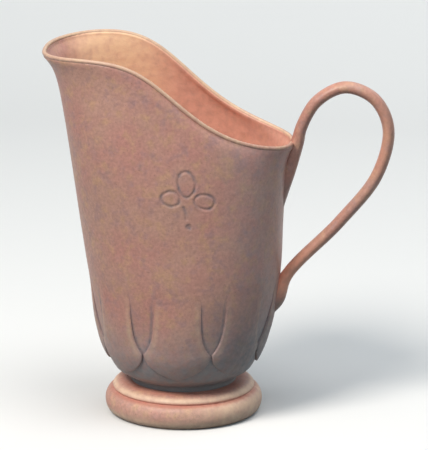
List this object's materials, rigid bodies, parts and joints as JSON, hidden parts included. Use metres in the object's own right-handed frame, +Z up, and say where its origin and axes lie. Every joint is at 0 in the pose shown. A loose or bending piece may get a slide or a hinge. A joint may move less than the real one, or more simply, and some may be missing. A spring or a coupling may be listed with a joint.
{
  "type": "pitcher",
  "caption": "Helmet-shaped ceramic pitcher with a raised spout, swept rim, high loop handle, applied petals round the lower cup and a low moulded foot.",
  "frame": {"origin": "on the table, below the middle of the whole pitcher's box; the foot's own axis stands about 21 mm towards the spout from it", "axes": "+Z up, -X towards the spout, +X towards the handle, +Y across the mouth"},
  "size_m": [0.2056, 0.1056, 0.2208],
  "materials": {
    "body": "satin salmon clay, mottled",
    "lip": "satin, worn pale",
    "collar": "matte, darkened in the recess",
    "foot": "satin, paler on the beads",
    "handle": "satin, paler along the ridge",
    "petals": "satin salmon clay, mottled"
  },
  "bodies": {
    "root": {"body": "body", "lip_roll": "lip", "neck_collar": "collar", "foot": "foot", "handle": "handle", "petal_1": "petals", "petal_2": "petals", "petal_3": "petals", "petal_4": "petals", "petal_5": "petals", "petal_6": "petals", "petal_7": "petals", "petal_8": "petals"}
  },
  "joints": []
}
